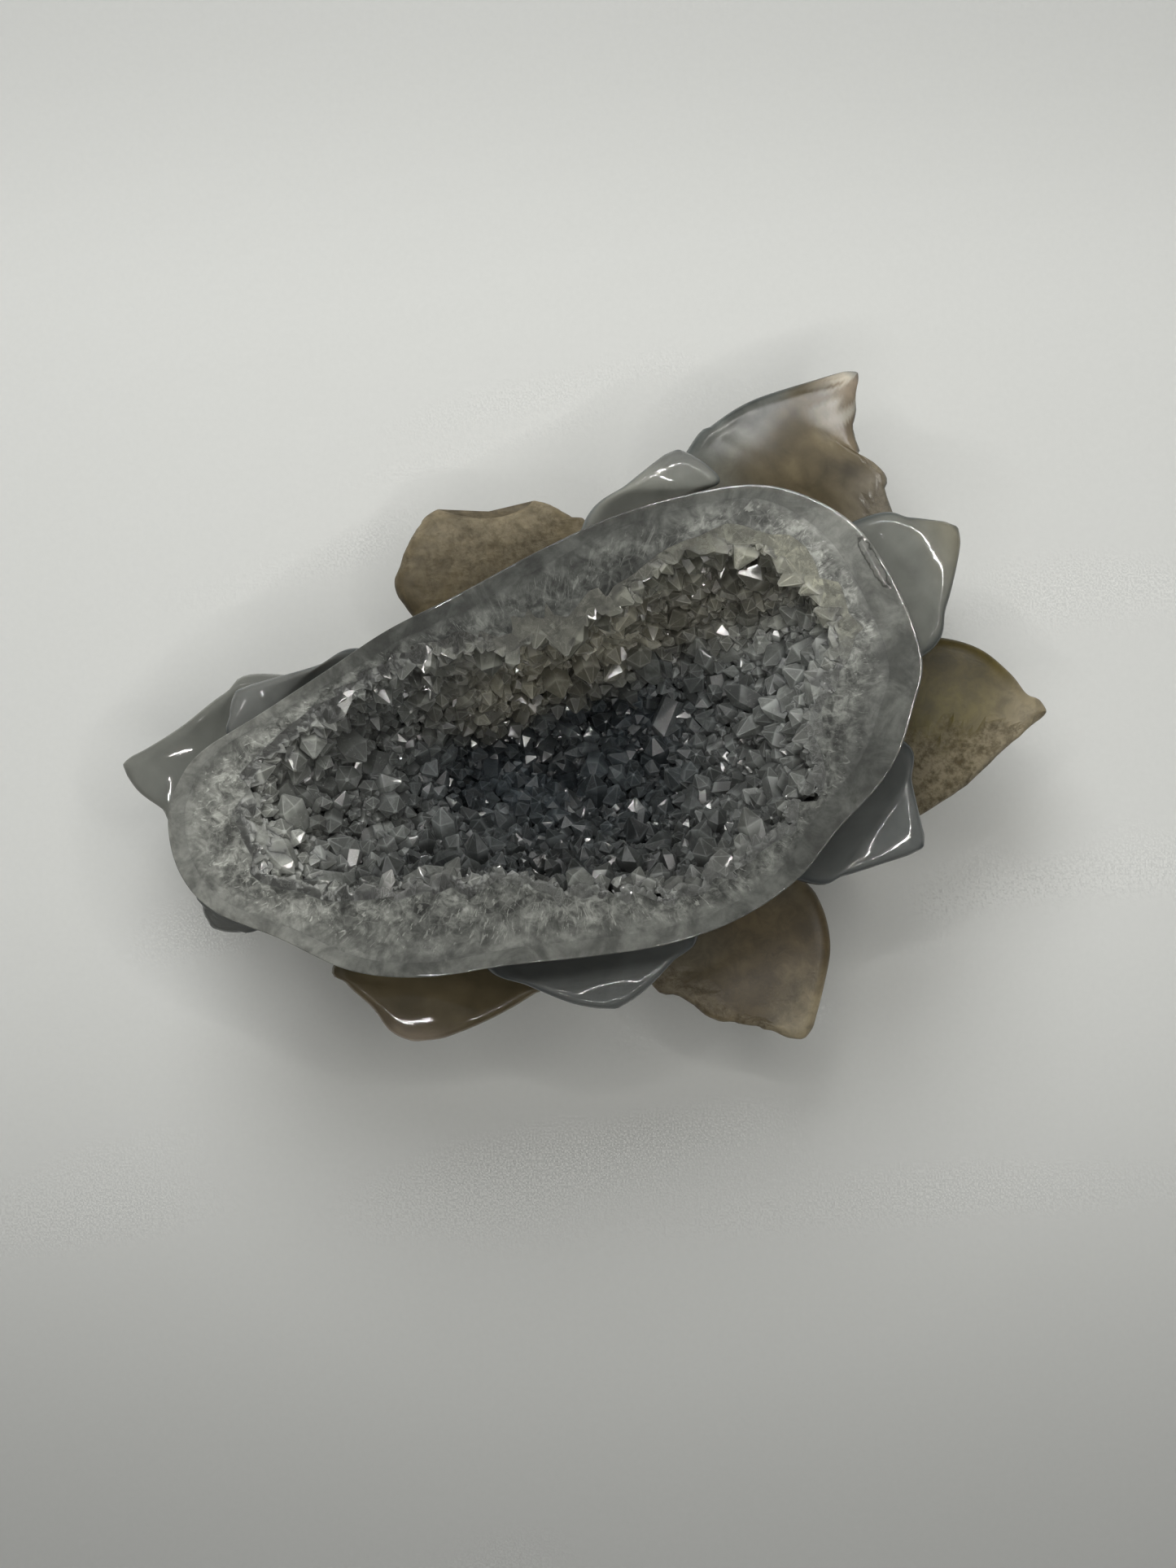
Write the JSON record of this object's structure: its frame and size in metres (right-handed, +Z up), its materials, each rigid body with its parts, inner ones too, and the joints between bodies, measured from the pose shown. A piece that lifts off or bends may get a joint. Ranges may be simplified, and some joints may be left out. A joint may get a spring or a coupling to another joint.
{
  "type": "druzy agate lotus carving",
  "caption": "Agate geode carved as a lotus: a polished rim round a crystal-lined hollow, tiers of pointed petals curving up round it, and a flat base to stand on.",
  "frame": {"origin": "under the middle of the bounding box, in the plane of the flat base", "axes": "+X along the longest extent, towards the broad end of the mouth; +Z up, out of the mouth"},
  "size_m": [0.1596, 0.1164, 0.058],
  "materials": {
    "agate": "polished translucent stone with some rough natural skin",
    "quartz": "clear to milky gray crystal"
  },
  "bodies": {
    "root": {"carved_lotus": "agate", "crystal_crust": "quartz"}
  },
  "joints": []
}
